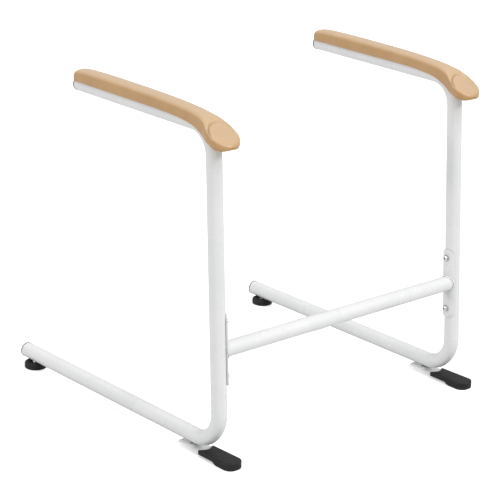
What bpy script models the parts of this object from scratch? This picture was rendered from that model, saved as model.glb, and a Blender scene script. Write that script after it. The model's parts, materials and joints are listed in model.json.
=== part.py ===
"""A free-standing toilet safety frame: two bent side tubes with armrests, joined by one low crossbar.

Metres, +Z up. The frame stands on the plane z = 0, centred on x = 0 and y = 0. -Y is the front, where the
posts, the palm rests and the rubber feet are. +Y is the rear, where the base tubes and the armrests end.
-X is the seated user's right, +X the user's left.
"""

import math

import bmesh
import bpy
from mathutils import Vector

# Overall sizes
TRACK = 0.596  # between the axes of the two side tubes
DEPTH = 0.621  # from the toes of the front feet to the rear caps
BASE_Z = 0.0275  # height of the base tube's axis
TOP_Z = BASE_Z + 0.569  # height of the top tube's axis
POST_LEAN = math.radians(4.3)  # the posts lean rearward as they rise

# Tubes
TUBE_R = 0.0143
TUBE_WALL = 0.0016
BORE_R = TUBE_R - TUBE_WALL
LOWER_BEND_R = 0.058
UPPER_BEND_R = 0.0535
TUBE_SIDES = 20
BEND_STEPS = 8
GAP = 0.0003  # kept between pieces that touch

# Places along Y, all counted rearward from the corner where the base and post axes cross
TOE_REACH = 0.0470  # the front foot reaches this far forward of the corner
CORNER_Y = TOE_REACH - DEPTH / 2
BASE_END_Y = DEPTH / 2
TOP_END_Y = CORNER_Y + 0.4125
GLIDE_Y = CORNER_Y + 0.5450

# End caps
CAP_LIP = 0.0022
CAP_PLUG = 0.014
CAP_PLUG_R = BORE_R - 0.0005

# Crossbar and the saddles that bolt it to the posts
CROSSBAR_Z = BASE_Z + 0.1763
SADDLE_Z = BASE_Z + 0.1770
SADDLE_HALF_HEIGHT = 0.0665
SADDLE_HALF_ANGLE = math.radians(58)
SADDLE_IN_R = TUBE_R + 0.0005
SADDLE_THICK = 0.0030
SADDLE_OUT_R = SADDLE_IN_R + SADDLE_THICK
SADDLE_END_ROUNDING = 0.75  # 1 gives half-round ends, 0 gives square ones
SADDLE_SCREW_OFFSET = 0.0500
SADDLE_ARC_STEPS = 12
COPE_SIDES = 48

# Fasteners: M6 saddle screws into rivet nuts, M5 armrest screws, M8 adjusters
M6_R = 0.0030
M5_R = 0.0025
M8_R = 0.0040
HEAD_SIDES = 16
M5_CROSS = (0.0005, 0.0020)
M6_CROSS = (0.0006, 0.0026)
CROSS_CUT = 0.0060
HOLE_CLEARANCE = 0.0004
WASHER_R = 0.0062
WASHER_THICK = 0.0012
SADDLE_HEAD_R = 0.0052
SADDLE_HEAD_HEIGHT = 0.0034
SADDLE_SCREW_LENGTH = 0.0180
SADDLE_INSERT_R = 0.0046
SADDLE_INSERT_LENGTH = 0.0110
SADDLE_INSERT_SINK = 0.0012
POST_HOLE_R = SADDLE_INSERT_R + 0.0006
ARM_HEAD_R = 0.0048
ARM_HEAD_HEIGHT = 0.0030
ARM_HEAD_RISE = 0.0113  # the head bears on the inside of the top tube's upper wall
ARM_SCREW_LENGTH = 0.0140
ARM_ACCESS_R = 0.0058

# Foot bracket: a flat bar under the base tube, stepped down into the front foot
BAR_HALF_WIDTH = 0.0160
BAR_THICK = 0.0036
BAR_REAR_Y = 0.0925
BAR_STEP_REAR_Y = 0.0620
BAR_STEP_FRONT_Y = 0.0560
BAR_STEP_DOWN = 0.0030
BAR_FRONT_Y = -0.0320
BAR_TOP_Z = BASE_Z - TUBE_R - GAP
VENT_R = 0.0017
VENT_SIDES = 12
VENT_X = 0.0110
VENT_Y = 0.0680

# Front foot: a rubber boot over the bracket's tongue
FOOT_HALF_WIDTH = 0.0185
FOOT_EAR_Y = 0.0385
FOOT_EAR_CORNER = 0.0035
FOOT_NOTCH_DEPTH = 0.0075
FOOT_TOE_R = 0.0150
FOOT_TOP_REAR_Z = 0.0133
FOOT_TOP_TOE_Z = 0.0150
FOOT_HEEL_Z = 0.0046
FOOT_STEP_REAR_Y = -0.0020
FOOT_STEP_FRONT_Y = -0.0080

# Cutters: how far one runs past a face, through a plate, and from a tube's axis out past its wall
CUT_PAST = 0.0040
CUT_THROUGH = 0.0100
HALF_TUBE_CUT = 0.0200
GROOVE_RUN_OUT = 0.0200

# Rear levelling glide
GLIDE_R = 0.0214
GLIDE_HEIGHT = 0.0114
GLIDE_RECESS_R = 0.0095
GLIDE_RECESS_Z = 0.0072
STUD_FOOT_R = 0.0085
STUD_FOOT_BOTTOM = 0.0029
STUD_FOOT_TOP = 0.0057
STUD_TOP = 0.0340
NUT_HALF_FLATS = 0.0065
NUT_HEIGHT = 0.0028
RIVET_FLANGE_R = 0.0075
RIVET_FLANGE = 0.0010
RIVET_BODY_R = 0.0056
RIVET_BODY = 0.0095
GLIDE_HOLE_R = RIVET_BODY_R + 0.0004

# Armrest: a strip over the top tube, ending in a round palm rest that slopes down to the front
ARM_HALF_WIDTH = 0.0175
ARM_END = 0.4140  # counted rearward from the corner
ARM_REAR_R = 0.0130
ARM_SHOULDER = 0.0090
PALM_SHOULDER_DROP = 0.0020
ARM_GROOVE_R = TUBE_R + 0.0005
ARM_EDGE = 0.0016  # rounding of the side walls' lower edges
PALM_EDGE = 0.0115  # the same under the palm rest, which is shaped like a bowl
PALM_Y = 0.0160
PALM_Z = TOP_Z - 0.0040
PALM_HALF_WIDTH = 0.0300
PALM_HALF_LENGTH = 0.0235
PALM_FADE = 0.0500  # length over which the palm rest's section turns into the strip's
PALM_SLOPE = math.tan(math.radians(33.7))
PALM_RIM_Y = PALM_Y + PALM_HALF_LENGTH
ARM_SCREWS = {"front": 0.1500, "rear": 0.3600}  # counted rearward from the corner


def clear_scene():
    for old in list(bpy.data.objects):
        bpy.data.objects.remove(old, do_unlink=True)


def make_material(name, colour, roughness, metallic=0.0):
    material = bpy.data.materials.new(name)
    material.use_nodes = True
    shader = material.node_tree.nodes["Principled BSDF"]
    shader.inputs["Base Color"].default_value = (*colour, 1.0)
    shader.inputs["Roughness"].default_value = roughness
    shader.inputs["Metallic"].default_value = metallic
    return material


def make_empty(name, place, parent=None):
    empty = bpy.data.objects.new(name, None)
    empty.location = place
    empty.parent = parent
    bpy.context.scene.collection.objects.link(empty)
    return empty


def make_mesh(name, build, smooth_angle=None):
    """A mesh filled by build(bm), with its faces pointing out."""
    bm = bmesh.new()
    build(bm)
    bmesh.ops.recalc_face_normals(bm, faces=bm.faces)
    mesh = bpy.data.meshes.new(name)
    bm.to_mesh(mesh)
    bm.free()
    if smooth_angle is not None:
        mesh.shade_smooth()
        mesh.set_sharp_from_angle(angle=smooth_angle)
    return mesh


def make_object(name, mesh, material, parent=None, place=(0, 0, 0), turn=(0, 0, 0)):
    mesh.materials.clear()
    mesh.materials.append(material)
    obj = bpy.data.objects.new(name, mesh)
    obj.parent = parent
    obj.location = place
    obj.rotation_euler = turn
    bpy.context.scene.collection.objects.link(obj)
    return obj


def make_cutter(name, mesh, parent=None, place=(0, 0, 0), turn=(0, 0, 0)):
    cutter = bpy.data.objects.new(name, mesh)
    cutter.parent = parent
    cutter.location = place
    cutter.rotation_euler = turn
    cutter.hide_render = True
    cutter.display_type = "WIRE"
    bpy.context.scene.collection.objects.link(cutter)
    return cutter


def cut(obj, cutter):
    modifier = obj.modifiers.new("cut_" + cutter.name, "BOOLEAN")
    modifier.operation = "DIFFERENCE"
    modifier.solver = "EXACT"
    modifier.object = cutter


def add_ring_bands(bm, rings, closed_loop=False):
    """Quads between neighbouring rings of vertices, which all have the same count."""
    pairs = list(zip(rings[:-1], rings[1:]))
    if closed_loop:
        pairs.append((rings[-1], rings[0]))
    for lower, upper in pairs:
        for i in range(len(lower)):
            j = (i + 1) % len(lower)
            bm.faces.new((lower[i], lower[j], upper[j], upper[i]))


def add_circle(bm, centre, side_axis, up_axis, radius, sides):
    ring = []
    for i in range(sides):
        angle = 2 * math.pi * (i + 0.5) / sides
        ring.append(bm.verts.new(centre + radius * (math.cos(angle) * side_axis + math.sin(angle) * up_axis)))
    return ring


def add_turned(bm, profile, sides):
    """A solid turned about the vertical axis. The profile starts and ends on that axis, bottom first."""
    rings = []
    for radius, height in profile[1:-1]:
        centre = Vector((0, 0, height))
        rings.append(add_circle(bm, centre, Vector((1, 0, 0)), Vector((0, 1, 0)), radius, sides))
    add_ring_bands(bm, rings)
    bm.faces.new(rings[0])
    bm.faces.new(rings[-1])


def add_turned_ring(bm, profile, sides):
    """A solid with a hole, turned about the vertical axis. The profile is a closed outline."""
    rings = []
    for radius, height in profile:
        centre = Vector((0, 0, height))
        rings.append(add_circle(bm, centre, Vector((1, 0, 0)), Vector((0, 1, 0)), radius, sides))
    add_ring_bands(bm, rings, closed_loop=True)


def turned_mesh(name, profile, sides):
    return make_mesh(name, lambda bm: add_turned(bm, profile, sides), math.radians(40))


def turned_ring_mesh(name, profile, sides):
    return make_mesh(name, lambda bm: add_turned_ring(bm, profile, sides), math.radians(40))


def post_point(height):
    """Y of the post's axis at a height, counted from the corner."""
    return (height - BASE_Z) * math.tan(POST_LEAN)


def bend(corner, direction_in, direction_out, radius, steps):
    """(point, tangent) pairs round a bend in the YZ plane, from the incoming to the outgoing straight."""
    turn = direction_in.angle(direction_out)
    setback = radius * math.tan(turn / 2)
    start = corner - direction_in * setback
    inward = (direction_out - direction_in * direction_in.dot(direction_out)).normalized()
    centre = start + inward * radius
    stations = []
    for step in range(steps + 1):
        angle = turn * step / steps
        point = centre + radius * (math.sin(angle) * direction_in - math.cos(angle) * inward)
        tangent = math.cos(angle) * direction_in + math.sin(angle) * inward
        stations.append((point, tangent))
    return stations


def side_tube_path(base_end, top_end, steps=BEND_STEPS):
    """The side tube's axis, from the rear of the base to the rear of the top, at x = 0."""
    forward = Vector((0, -1, 0))
    rearward = Vector((0, 1, 0))
    upward = Vector((0, math.sin(POST_LEAN), math.cos(POST_LEAN)))
    low_corner = Vector((0, CORNER_Y, BASE_Z))
    high_corner = Vector((0, CORNER_Y + post_point(TOP_Z), TOP_Z))
    path = [(Vector((0, base_end, BASE_Z)), forward)]
    path += bend(low_corner, forward, upward, LOWER_BEND_R, steps)
    path += bend(high_corner, upward, rearward, UPPER_BEND_R, steps)
    path.append((Vector((0, top_end, TOP_Z)), rearward))
    return path


def add_sweep(bm, path, radius, sides):
    """Rings of vertices of a round tube along a path in the YZ plane."""
    across = Vector((1, 0, 0))
    return [add_circle(bm, point, across, across.cross(tangent), radius, sides) for point, tangent in path]


def build_hollow_sweep(bm, path, outer, inner, sides):
    outside = add_sweep(bm, path, outer, sides)
    inside = add_sweep(bm, path, inner, sides)
    add_ring_bands(bm, outside + inside[::-1], closed_loop=True)


def build_solid_sweep(bm, path, radius, sides):
    rings = add_sweep(bm, path, radius, sides)
    add_ring_bands(bm, rings)
    bm.faces.new(rings[0])
    bm.faces.new(rings[-1])


def smooth_through(points, place):
    """Height at a place on a smooth curve through (place, height) points, with no overshoot."""
    if place <= points[0][0]:
        return points[0][1]
    if place >= points[-1][0]:
        return points[-1][1]
    slopes = [(b[1] - a[1]) / (b[0] - a[0]) for a, b in zip(points[:-1], points[1:])]
    tangents = [slopes[0]]
    for before, after in zip(slopes[:-1], slopes[1:]):
        agree = before * after > 0
        tangents.append(2 * before * after / (before + after) if agree else 0.0)
    tangents.append(slopes[-1])
    k = max(i for i in range(len(points) - 1) if points[i][0] <= place)
    (x0, z0), (x1, z1) = points[k], points[k + 1]
    span = x1 - x0
    t = (place - x0) / span
    rise = z0 * (2 * t**3 - 3 * t**2 + 1) + z1 * (3 * t**2 - 2 * t**3)
    return rise + span * (tangents[k] * (t**3 - 2 * t**2 + t) + tangents[k + 1] * (t**3 - t**2))


def arm_top(y):
    """The armrest's crown. It falls to the palm rest's rear rim, then follows the palm rest's slope."""
    if y < PALM_RIM_Y:
        return PALM_Z + (y - PALM_Y) * PALM_SLOPE
    crown = [(PALM_RIM_Y, 0.0117), (0.0520, 0.0182), (0.0700, 0.0224), (0.0950, 0.0254), (0.1480, 0.0284),
             (0.2020, 0.0298), (0.3130, 0.0307), (0.3720, 0.0300), (0.4000, 0.0282), (ARM_END, 0.0238)]
    return TOP_Z + smooth_through(crown, y)


def arm_bottom(y):
    """The lower edge of the armrest's side walls: half way down the tube, then under the palm rest."""
    edge = [(-0.0072, -0.0268), (-0.0045, -0.0286), (0.0010, -0.0294), (0.0100, -0.0286), (0.0240, -0.0252),
            (0.0400, -0.0180), (0.0570, -0.0090), (0.0820, -0.0003), (0.1040, 0.0030), (0.1460, 0.0060),
            (0.1900, 0.0068), (ARM_END, 0.0068)]
    return TOP_Z + smooth_through(edge, y)


def arm_half_width(y):
    front_part = (y - PALM_Y) / PALM_HALF_LENGTH
    if y < PALM_Y:
        return PALM_HALF_WIDTH * math.sqrt(max(0.0, 1 - front_part**2))
    waist = [(PALM_Y, PALM_HALF_WIDTH), (0.0300, 0.0280), (0.0480, 0.0220), (0.0700, 0.0183),
             (0.1000, ARM_HALF_WIDTH)]
    width = smooth_through(waist, y)
    into_end = (y - (ARM_END - ARM_REAR_R)) / ARM_REAR_R
    if into_end > 0:
        width *= (1 - into_end**3) ** (1 / 3)
    return width


def arm_section(y, half_steps):
    """Half of the armrest's outline at y, from the middle of its underside to its crown, as (x, z)."""
    width = arm_half_width(y)
    top = arm_top(y)
    bottom = arm_bottom(y)
    on_palm = min(1.0, max(0.0, 1 - (y - PALM_Y) / PALM_FADE))
    shoulder = min(ARM_SHOULDER - PALM_SHOULDER_DROP * on_palm, 0.55 * (top - bottom))
    edge = min(ARM_EDGE + (PALM_EDGE - ARM_EDGE) * on_palm, 0.4 * (top - bottom), 0.42 * width)
    power = 1 / (1 + 0.8 * on_palm)
    outline = [(0.0, bottom), (width - edge, bottom), (width - 0.32 * edge, bottom + 0.32 * edge),
               (width, bottom + edge)]
    for step in range(half_steps + 1):
        angle = math.pi / 2 * step / half_steps
        x = width * math.cos(angle) ** power if step < half_steps else 0.0
        outline.append((x, top - shoulder + shoulder * math.sin(angle) ** power))
    return outline


def arm_stations():
    """Y of each section: close together round the palm rest's front and the rear end."""
    front = [PALM_Y - PALM_HALF_LENGTH * math.cos(math.radians(a)) for a in (5, 20, 35, 50, 65, 80)]
    middle = [0.0220, 0.0300, PALM_RIM_Y, 0.0450, 0.0520, 0.0610, 0.0750, 0.0920, 0.1150, 0.1500, 0.2200,
              0.3000, 0.3600]
    rear = [ARM_END - ARM_REAR_R * (1 - math.sin(math.radians(a))) for a in (0, 25, 45, 62, 76, 87)]
    return front + middle + rear


def build_armrest(bm):
    rings = []
    for y in arm_stations():
        half = arm_section(y, half_steps=6)
        outline = half + [(-x, z) for x, z in half[-2:0:-1]]
        rings.append([bm.verts.new((x, CORNER_Y + y, z)) for x, z in outline])
    add_ring_bands(bm, rings)
    bm.faces.new(rings[0])
    bm.faces.new(rings[-1])


def plan_outline_prism(bm, outline, bottom, top):
    """A prism over a plan outline of (x, y). bottom(y) and top(y) give its heights."""
    low = [bm.verts.new((x, y, bottom(y))) for x, y in outline]
    high = [bm.verts.new((x, y, top(y))) for x, y in outline]
    add_ring_bands(bm, [low, high])
    bm.faces.new(low)
    bm.faces.new(high)


def bar_bottom(y):
    """Underside of the bracket bar, y counted from the corner: level, then stepped down."""
    step = (BAR_STEP_REAR_Y - y) / (BAR_STEP_REAR_Y - BAR_STEP_FRONT_Y)
    return BAR_TOP_Z - BAR_THICK - BAR_STEP_DOWN * min(1.0, max(0.0, step))


def build_bracket(bm):
    """The bar as one strip: its side view is extruded across its width."""
    along = (BAR_REAR_Y, BAR_STEP_REAR_Y, BAR_STEP_FRONT_Y, BAR_FRONT_Y)
    under = [(y, bar_bottom(y)) for y in along]
    over = [(y, z + BAR_THICK) for y, z in reversed(under)]
    rings = []
    for x in (-BAR_HALF_WIDTH, BAR_HALF_WIDTH):
        rings.append([bm.verts.new((x, CORNER_Y + y, z)) for y, z in under + over])
    add_ring_bands(bm, rings)
    bm.faces.new(rings[0])
    bm.faces.new(rings[1])


def foot_outline():
    """Plan of the front foot: two ears round a hollow at the rear, and a rounded toe."""
    points = []
    notch_steps = 6
    inner = FOOT_HALF_WIDTH - FOOT_EAR_CORNER
    for step in range(notch_steps + 1):
        across = -1 + 2 * step / notch_steps
        points.append((inner * across, FOOT_EAR_Y - FOOT_NOTCH_DEPTH * (1 - across**2)))
    points.append((FOOT_HALF_WIDTH, FOOT_EAR_Y - FOOT_EAR_CORNER))
    toe_steps = 5
    for side in (1, -1):
        arc = []
        for step in range(toe_steps + 1):
            angle = math.pi / 2 * step / toe_steps
            x = side * (FOOT_HALF_WIDTH - FOOT_TOE_R * (1 - math.cos(angle)))
            arc.append((x, -TOE_REACH + FOOT_TOE_R * (1 - math.sin(angle))))
        points += arc if side == 1 else arc[::-1]
    points.append((-FOOT_HALF_WIDTH, FOOT_EAR_Y - FOOT_EAR_CORNER))
    return points


def foot_top(y):
    along = (FOOT_EAR_Y - y) / (FOOT_EAR_Y + TOE_REACH)
    return FOOT_TOP_REAR_Z + (FOOT_TOP_TOE_Z - FOOT_TOP_REAR_Z) * along


def build_foot(bm):
    plan_outline_prism(bm, foot_outline(), lambda y: 0.0, foot_top)
    for vert in bm.verts:
        vert.co.y += CORNER_Y


def build_box(bm, low, high):
    bmesh.ops.create_cube(bm, size=1.0)
    size = Vector(high) - Vector(low)
    bmesh.ops.scale(bm, vec=size, verts=bm.verts)
    bmesh.ops.translate(bm, vec=(Vector(high) + Vector(low)) / 2, verts=bm.verts)


def build_heel_cutter(bm):
    """Everything under the heel of the front foot, with a slanted front end that makes the step."""
    wide = 2 * FOOT_HALF_WIDTH
    deep = -CUT_THROUGH
    side_view = [(FOOT_STEP_FRONT_Y, deep), (FOOT_EAR_Y * 2, deep), (FOOT_EAR_Y * 2, FOOT_HEEL_Z),
                 (FOOT_STEP_REAR_Y, FOOT_HEEL_Z), (FOOT_STEP_FRONT_Y, 0.0)]
    rings = []
    for x in (-wide, wide):
        rings.append([bm.verts.new((x, CORNER_Y + y, z)) for y, z in side_view])
    add_ring_bands(bm, rings)
    bm.faces.new(rings[0])
    bm.faces.new(rings[1])


def build_tongue_pocket(bm):
    """The slot in the front foot that the bracket's tongue fills, open at the rear."""
    floor = bar_bottom(0.0)
    low = (-BAR_HALF_WIDTH - GAP, CORNER_Y + BAR_FRONT_Y - GAP, floor - GAP)
    high = (BAR_HALF_WIDTH + GAP, CORNER_Y + FOOT_EAR_Y * 2, floor + BAR_THICK + GAP)
    build_box(bm, low, high)


def build_cross_prism(bm, half_width, half_length, bottom, top):
    """A plus-shaped prism, for a cross recess."""
    w, l = half_width, half_length
    outline = [(w, w), (w, l), (-w, l), (-w, w), (-l, w), (-l, -w), (-w, -w), (-w, -l), (w, -l), (w, -w),
               (l, -w), (l, w)]
    plan_outline_prism(bm, outline, lambda y: bottom, lambda y: top)


def pan_screw_profile(shank_r, head_r, head_height, length):
    """A pan-head screw pointing down from z = 0, the underside of its head."""
    return [(0, -length), (shank_r * 0.7, -length), (shank_r, -length + shank_r * 0.5), (shank_r, 0),
            (head_r, 0), (head_r, head_height * 0.35), (head_r * 0.86, head_height * 0.8),
            (head_r * 0.5, head_height), (0, head_height)]


def build_saddle(bm, facing):
    """A curved plate round the post's inner side, with half-round ends. facing is +1 or -1 along X."""
    mid_r = (SADDLE_IN_R + SADDLE_OUT_R) / 2
    half_arc = SADDLE_HALF_ANGLE * mid_r
    columns = []
    for step in range(SADDLE_ARC_STEPS + 1):
        share = math.sin(math.pi / 2 * (-1 + 2 * step / SADDLE_ARC_STEPS))
        rounded = half_arc * math.sqrt(1 - share**2)
        height = SADDLE_HALF_HEIGHT - SADDLE_END_ROUNDING * (half_arc - rounded)
        columns.append((SADDLE_HALF_ANGLE * share, height))
    rings = []
    for angle, height in columns:
        ring = []
        for radius, z in ((SADDLE_IN_R, -height), (SADDLE_OUT_R, -height), (SADDLE_OUT_R, height),
                          (SADDLE_IN_R, height)):
            ring.append(bm.verts.new((facing * radius * math.cos(angle), radius * math.sin(angle), z)))
        rings.append(ring)
    add_ring_bands(bm, rings)
    bm.faces.new(rings[0])
    bm.faces.new(rings[-1])


def build_hex_nut(bm, bore, half_flats, height):
    """A hexagonal nut: six flats outside and a round bore, joined top and bottom."""
    sides = 12
    rings = []
    for radius_of, z in ((bore, 0.0), (None, 0.0), (None, height), (bore, height)):
        ring = []
        for i in range(sides):
            angle = 2 * math.pi * i / sides
            to_flat = (angle + math.pi / 6) % (math.pi / 3) - math.pi / 6
            radius = radius_of or half_flats / math.cos(to_flat)
            ring.append(bm.verts.new((radius * math.cos(angle), radius * math.sin(angle), z)))
        rings.append(ring)
    add_ring_bands(bm, rings, closed_loop=True)


def build_crossbar(bm):
    half = TRACK / 2
    forward = Vector((0, 1, 0))
    upward = Vector((0, 0, 1))
    rings = []
    for radius, x in ((TUBE_R, -half), (TUBE_R, half), (BORE_R, half), (BORE_R, -half)):
        rings.append(add_circle(bm, Vector((x, 0, 0)), forward, upward, radius, TUBE_SIDES))
    add_ring_bands(bm, rings, closed_loop=True)


def build_cap(bm):
    """An end cap at the origin, its lip toward +Y and its plug toward -Y."""
    profile = [(0, -CAP_PLUG), (CAP_PLUG_R * 0.92, -CAP_PLUG), (CAP_PLUG_R, -CAP_PLUG + 0.002),
               (CAP_PLUG_R, 0), (TUBE_R, 0), (TUBE_R, CAP_LIP * 0.6), (TUBE_R * 0.93, CAP_LIP), (0, CAP_LIP)]
    add_turned(bm, profile, TUBE_SIDES)
    for vert in bm.verts:
        x, y, z = vert.co
        vert.co = (x, z, -y)


def vertical_cylinder(bm, radius, bottom, top, sides):
    add_turned(bm, [(0, bottom), (radius, bottom), (radius, top), (0, top)], sides)


def cylinder_mesh(name, radius, bottom, top, sides=HEAD_SIDES):
    return make_mesh(name, lambda bm: vertical_cylinder(bm, radius, bottom, top, sides))


def cross_mesh(name, cross, depth_from):
    """The cutter of a screw head's cross recess, from depth_from above the head's underside."""
    half_width, half_length = cross
    return make_mesh(name, lambda bm: build_cross_prism(bm, half_width, half_length, depth_from, CROSS_CUT))


def saddle_places(facing, reach):
    """(word, place) of the two saddle screws, on the post's inner side at reach from its axis."""
    for word, height in (("upper", SADDLE_SCREW_OFFSET), ("lower", -SADDLE_SCREW_OFFSET)):
        yield word, (facing * reach, 0, height)


def make_tube(prefix, side_x, facing, lean_frame, white):
    path = side_tube_path(BASE_END_Y - CAP_LIP - GAP, TOP_END_Y - CAP_LIP - GAP)
    mesh = make_mesh(
        prefix + "side_tube",
        lambda bm: build_hollow_sweep(bm, path, TUBE_R, BORE_R, TUBE_SIDES),
        math.radians(40),
    )
    tube = make_object(prefix + "side_tube", mesh, white, place=(side_x, 0, 0))
    glide_hole = cylinder_mesh("glide_hole", GLIDE_HOLE_R, -CUT_PAST, CUT_PAST)
    cut(tube, make_cutter(prefix + "glide_hole", glide_hole, place=(side_x, GLIDE_Y, BASE_Z - TUBE_R)))
    side_hole = cylinder_mesh("side_hole", POST_HOLE_R, -CUT_THROUGH, CUT_PAST)
    for word, place in saddle_places(facing, TUBE_R):
        name = prefix + word + "_post_hole"
        cut(tube, make_cutter(name, side_hole, lean_frame, place, (0, facing * math.pi / 2, 0)))
    arm_hole = cylinder_mesh("arm_hole", M5_R + HOLE_CLEARANCE, 0, HALF_TUBE_CUT)
    access_hole = cylinder_mesh("access_hole", ARM_ACCESS_R, -HALF_TUBE_CUT, 0)
    for word, y in ARM_SCREWS.items():
        place = (side_x, CORNER_Y + y, TOP_Z)
        cut(tube, make_cutter(prefix + word + "_arm_hole", arm_hole, place=place))
        cut(tube, make_cutter(prefix + word + "_access_hole", access_hole, place=place))


def make_armrest(prefix, side_x, tan, steel):
    mesh = make_mesh(prefix + "armrest", build_armrest, math.radians(35))
    armrest = make_object(prefix + "armrest", mesh, tan, place=(side_x, 0, 0))
    path = side_tube_path(BASE_END_Y, CORNER_Y + ARM_END + GROOVE_RUN_OUT)
    groove = make_mesh("groove", lambda bm: build_solid_sweep(bm, path, ARM_GROOVE_R, TUBE_SIDES))
    cut(armrest, make_cutter(prefix + "tube_groove", groove, place=(side_x, 0, 0)))
    pilot = cylinder_mesh("pilot", M5_R + HOLE_CLEARANCE, 0, ARM_SCREW_LENGTH + GAP)
    profile = pan_screw_profile(M5_R, ARM_HEAD_R, ARM_HEAD_HEIGHT, ARM_SCREW_LENGTH)
    screw = turned_mesh("armrest_screw", profile, HEAD_SIDES)
    recess = cross_mesh("arm_recess", M5_CROSS, ARM_HEAD_HEIGHT / 2)
    for word, y in ARM_SCREWS.items():
        place = (side_x, CORNER_Y + y, TOP_Z + ARM_HEAD_RISE)
        cut(armrest, make_cutter(prefix + word + "_pilot", pilot, place=place))
        name = prefix + word + "_armrest_screw"
        obj = make_object(name, screw, steel, place=place, turn=(math.pi, 0, 0))
        cut(obj, make_cutter(name + "_recess", recess, obj))


def make_caps(prefix, side_x, grey):
    mesh = make_mesh("end_cap", build_cap, math.radians(40))
    make_object(prefix + "base_end_cap", mesh, grey, place=(side_x, BASE_END_Y - CAP_LIP, BASE_Z))
    make_object(prefix + "top_end_cap", mesh, grey, place=(side_x, TOP_END_Y - CAP_LIP, TOP_Z))


def make_front_foot(prefix, side_x, white, rubber):
    mesh = make_mesh(prefix + "foot_bracket", build_bracket)
    bracket = make_object(prefix + "foot_bracket", mesh, white, place=(side_x, 0, 0))
    vent = make_mesh("vent", lambda bm: vertical_cylinder(bm, VENT_R, -CUT_THROUGH, CUT_THROUGH, VENT_SIDES))
    for x in (side_x - VENT_X, side_x + VENT_X):
        place = (x, CORNER_Y + VENT_Y, BAR_TOP_Z)
        cut(bracket, make_cutter(prefix + "bracket_vent", vent, place=place))
    foot_mesh = make_mesh(prefix + "front_foot", build_foot, math.radians(30))
    foot = make_object(prefix + "front_foot", foot_mesh, rubber, place=(side_x, 0, 0))
    heel = make_mesh("heel", build_heel_cutter)
    cut(foot, make_cutter(prefix + "heel_cutter", heel, place=(side_x, 0, 0)))
    pocket = make_mesh("pocket", build_tongue_pocket)
    cut(foot, make_cutter(prefix + "tongue_pocket", pocket, place=(side_x, 0, 0)))


def make_glide(prefix, side_x, rubber, steel):
    """The rear levelling foot. Its pad only slides; its stud turns in the pad and slides with it."""
    axis = make_empty(prefix + "glide_axis", (side_x, GLIDE_Y, 0))
    stem = M8_R + HOLE_CLEARANCE
    socket_r = STUD_FOOT_R + GAP
    pad = [(0, 0), (GLIDE_R - 0.0012, 0), (GLIDE_R, 0.0012), (GLIDE_R, GLIDE_HEIGHT - 0.0015),
           (GLIDE_R - 0.0015, GLIDE_HEIGHT), (GLIDE_RECESS_R, GLIDE_HEIGHT), (GLIDE_RECESS_R, GLIDE_RECESS_Z),
           (stem, GLIDE_RECESS_Z), (stem, STUD_FOOT_TOP + GAP), (socket_r, STUD_FOOT_TOP + GAP),
           (socket_r, STUD_FOOT_BOTTOM - GAP), (0, STUD_FOOT_BOTTOM - GAP)]
    make_object(prefix + "glide_pad", turned_mesh("glide_pad", pad, 32), rubber, axis)
    stud = [(0, STUD_FOOT_BOTTOM), (STUD_FOOT_R, STUD_FOOT_BOTTOM), (STUD_FOOT_R, STUD_FOOT_TOP),
            (M8_R, STUD_FOOT_TOP), (M8_R, STUD_TOP - 0.001), (M8_R - 0.001, STUD_TOP), (0, STUD_TOP)]
    make_object(prefix + "adjuster_stud", turned_mesh("adjuster_stud", stud, HEAD_SIDES), steel, axis)
    flange_top = BASE_Z - TUBE_R - GAP
    insert = [(stem, -RIVET_FLANGE), (RIVET_FLANGE_R, -RIVET_FLANGE), (RIVET_FLANGE_R, 0), (RIVET_BODY_R, 0),
              (RIVET_BODY_R, RIVET_BODY), (stem, RIVET_BODY)]
    insert_mesh = turned_ring_mesh("glide_rivet_nut", insert, HEAD_SIDES)
    make_object(prefix + "glide_rivet_nut", insert_mesh, steel, axis, (0, 0, flange_top))
    nut_mesh = make_mesh("lock_nut", lambda bm: build_hex_nut(bm, stem, NUT_HALF_FLATS, NUT_HEIGHT))
    nut_bottom = flange_top - RIVET_FLANGE - GAP - NUT_HEIGHT
    make_object(prefix + "lock_nut", nut_mesh, steel, axis, (0, 0, nut_bottom))


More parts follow.
